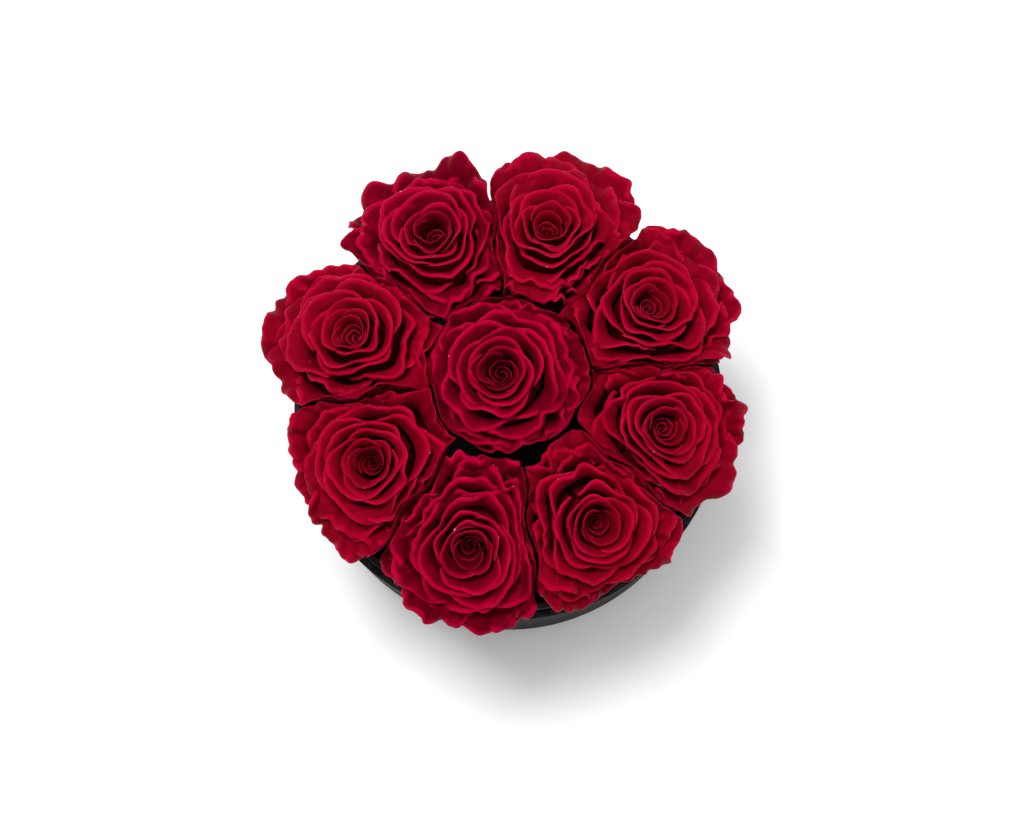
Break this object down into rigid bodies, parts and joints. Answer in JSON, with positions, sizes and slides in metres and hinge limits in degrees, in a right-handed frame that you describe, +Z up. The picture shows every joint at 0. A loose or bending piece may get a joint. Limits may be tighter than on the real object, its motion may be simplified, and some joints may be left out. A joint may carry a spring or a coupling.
{
  "type": "flower box",
  "caption": "Low round box with a raised neck, filled with foam that holds a ring of full roses round one in the middle, their petals out over the rim.",
  "frame": {"origin": "centre of the round face that the box stands on", "axes": "+Z up, out of the open top of the box; +X to the right and +Y to the back as the arrangement is looked at from its front"},
  "size_m": [0.1681, 0.1685, 0.116],
  "materials": {
    "box_paper": "matte",
    "neck_paper": "matte",
    "foam": "matte",
    "felt": "matte",
    "stem": "matte",
    "sepal": "matte",
    "petal": "matte",
    "petal_heart": "matte"
  },
  "bodies": {
    "box": {"bottom_paper": "box_paper", "bottom_board": "box_paper", "outer_wall": "box_paper", "neck_sleeve": "neck_paper", "foam_block": "foam", "foam_cover": "felt"},
    "middle_rose": {"middle_rose_stem": "stem", "middle_rose_calyx": "sepal", "middle_rose_outer_petals": "petal", "middle_rose_inner_petals": "petal", "middle_rose_heart": "petal_heart"},
    "ring_rose_1": {"ring_rose_1_stem": "stem", "ring_rose_1_calyx": "sepal", "ring_rose_1_outer_petals": "petal", "ring_rose_1_inner_petals": "petal", "ring_rose_1_heart": "petal_heart"},
    "ring_rose_2": {"ring_rose_2_stem": "stem", "ring_rose_2_calyx": "sepal", "ring_rose_2_outer_petals": "petal", "ring_rose_2_inner_petals": "petal", "ring_rose_2_heart": "petal_heart"},
    "ring_rose_3": {"ring_rose_3_stem": "stem", "ring_rose_3_calyx": "sepal", "ring_rose_3_outer_petals": "petal", "ring_rose_3_inner_petals": "petal", "ring_rose_3_heart": "petal_heart"},
    "ring_rose_4": {"ring_rose_4_stem": "stem", "ring_rose_4_calyx": "sepal", "ring_rose_4_outer_petals": "petal", "ring_rose_4_inner_petals": "petal", "ring_rose_4_heart": "petal_heart"},
    "ring_rose_5": {"ring_rose_5_stem": "stem", "ring_rose_5_calyx": "sepal", "ring_rose_5_outer_petals": "petal", "ring_rose_5_inner_petals": "petal", "ring_rose_5_heart": "petal_heart"},
    "ring_rose_6": {"ring_rose_6_stem": "stem", "ring_rose_6_calyx": "sepal", "ring_rose_6_outer_petals": "petal", "ring_rose_6_inner_petals": "petal", "ring_rose_6_heart": "petal_heart"},
    "ring_rose_7": {"ring_rose_7_stem": "stem", "ring_rose_7_calyx": "sepal", "ring_rose_7_outer_petals": "petal", "ring_rose_7_inner_petals": "petal", "ring_rose_7_heart": "petal_heart"},
    "ring_rose_8": {"ring_rose_8_stem": "stem", "ring_rose_8_calyx": "sepal", "ring_rose_8_outer_petals": "petal", "ring_rose_8_inner_petals": "petal", "ring_rose_8_heart": "petal_heart"}
  },
  "joints": [
    {"name": "middle_rose_pull", "type": "slide", "parent": "box", "child": "middle_rose", "axis": [0, 0, 1], "range_m": [0, 0.06]},
    {"name": "ring_rose_1_pull", "type": "slide", "parent": "box", "child": "ring_rose_1", "axis": [0.2605, 0.1327, 0.9563], "range_m": [0, 0.06]},
    {"name": "ring_rose_2_pull", "type": "slide", "parent": "box", "child": "ring_rose_2", "axis": [0.0855, 0.2796, 0.9563], "range_m": [0, 0.06]},
    {"name": "ring_rose_3_pull", "type": "slide", "parent": "box", "child": "ring_rose_3", "axis": [-0.1327, 0.2605, 0.9563], "range_m": [0, 0.06]},
    {"name": "ring_rose_4_pull", "type": "slide", "parent": "box", "child": "ring_rose_4", "axis": [-0.281, 0.0806, 0.9563], "range_m": [0, 0.06]},
    {"name": "ring_rose_5_pull", "type": "slide", "parent": "box", "child": "ring_rose_5", "axis": [-0.2532, -0.1462, 0.9563], "range_m": [0, 0.06]},
    {"name": "ring_rose_6_pull", "type": "slide", "parent": "box", "child": "ring_rose_6", "axis": [-0.0707, -0.2837, 0.9563], "range_m": [0, 0.06]},
    {"name": "ring_rose_7_pull", "type": "slide", "parent": "box", "child": "ring_rose_7", "axis": [0.1462, -0.2532, 0.9563], "range_m": [0, 0.06]},
    {"name": "ring_rose_8_pull", "type": "slide", "parent": "box", "child": "ring_rose_8", "axis": [0.2796, -0.0855, 0.9563], "range_m": [0, 0.06]}
  ]
}
